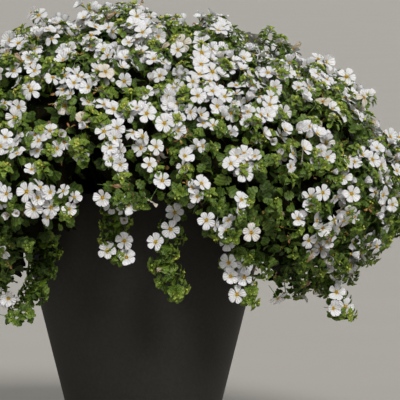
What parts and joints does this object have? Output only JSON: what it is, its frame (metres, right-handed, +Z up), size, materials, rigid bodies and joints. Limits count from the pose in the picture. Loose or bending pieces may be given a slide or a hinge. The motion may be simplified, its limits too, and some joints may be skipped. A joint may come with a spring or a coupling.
{
  "type": "potted bacopa",
  "caption": "Dense round mound of small white flowers over leafy stems, trailing past the rim of a dark tapered round planter.",
  "frame": {"origin": "centre of the pot's flat underside", "axes": "+Z up along the pot's axis; -Y towards the front, where separate stems trail down the pot; +X to the right of a viewer at the front"},
  "size_m": [0.5989, 0.5067, 0.4954],
  "materials": {
    "pot": "matte",
    "soil": "matte",
    "leaf": "satin",
    "petal": "matte"
  },
  "bodies": {
    "root": {"leafy_head_01": "leaf", "leafy_head_02": "leaf", "leafy_head_03": "leaf", "leafy_head_04": "leaf", "leafy_head_05": "leaf", "leafy_head_06": "leaf", "leafy_head_07": "leaf", "leafy_head_08": "leaf", "leafy_head_09": "leaf", "leafy_head_10": "leaf", "leafy_head_11": "leaf", "leafy_head_12": "leaf", "leafy_head_13": "leaf", "leafy_head_14": "leaf", "leafy_head_15": "leaf", "leafy_head_16": "leaf", "leafy_head_17": "leaf", "leafy_head_18": "leaf", "leafy_head_19": "leaf", "leafy_head_20": "leaf", "leafy_head_21": "leaf", "trailing_stem_a": "leaf", "trailing_stem_b": "leaf", "trailing_stem_c": "leaf", "trailing_stem_d": "leaf", "trailing_stem_e": "leaf", "trailing_stem_f": "leaf", "trailing_stem_g": "leaf", "head_blooms_01": "petal", "head_blooms_02": "petal", "head_blooms_03": "petal", "head_blooms_04": "petal", "head_blooms_05": "petal", "head_blooms_06": "petal", "head_blooms_07": "petal", "head_blooms_08": "petal", "head_blooms_09": "petal", "head_blooms_10": "petal", "head_blooms_11": "petal", "head_blooms_12": "petal", "head_blooms_13": "petal", "head_blooms_14": "petal", "head_blooms_15": "petal", "head_blooms_16": "petal", "head_blooms_17": "petal", "head_blooms_18": "petal", "head_blooms_19": "petal", "head_blooms_20": "petal", "head_blooms_21": "petal", "trail_blooms_a": "petal", "trail_blooms_b": "petal", "trail_blooms_c": "petal", "trail_blooms_d": "petal", "trail_blooms_e": "petal", "trail_blooms_f": "petal", "trail_blooms_g": "petal", "pot": "pot", "soil": "soil"}
  },
  "joints": []
}
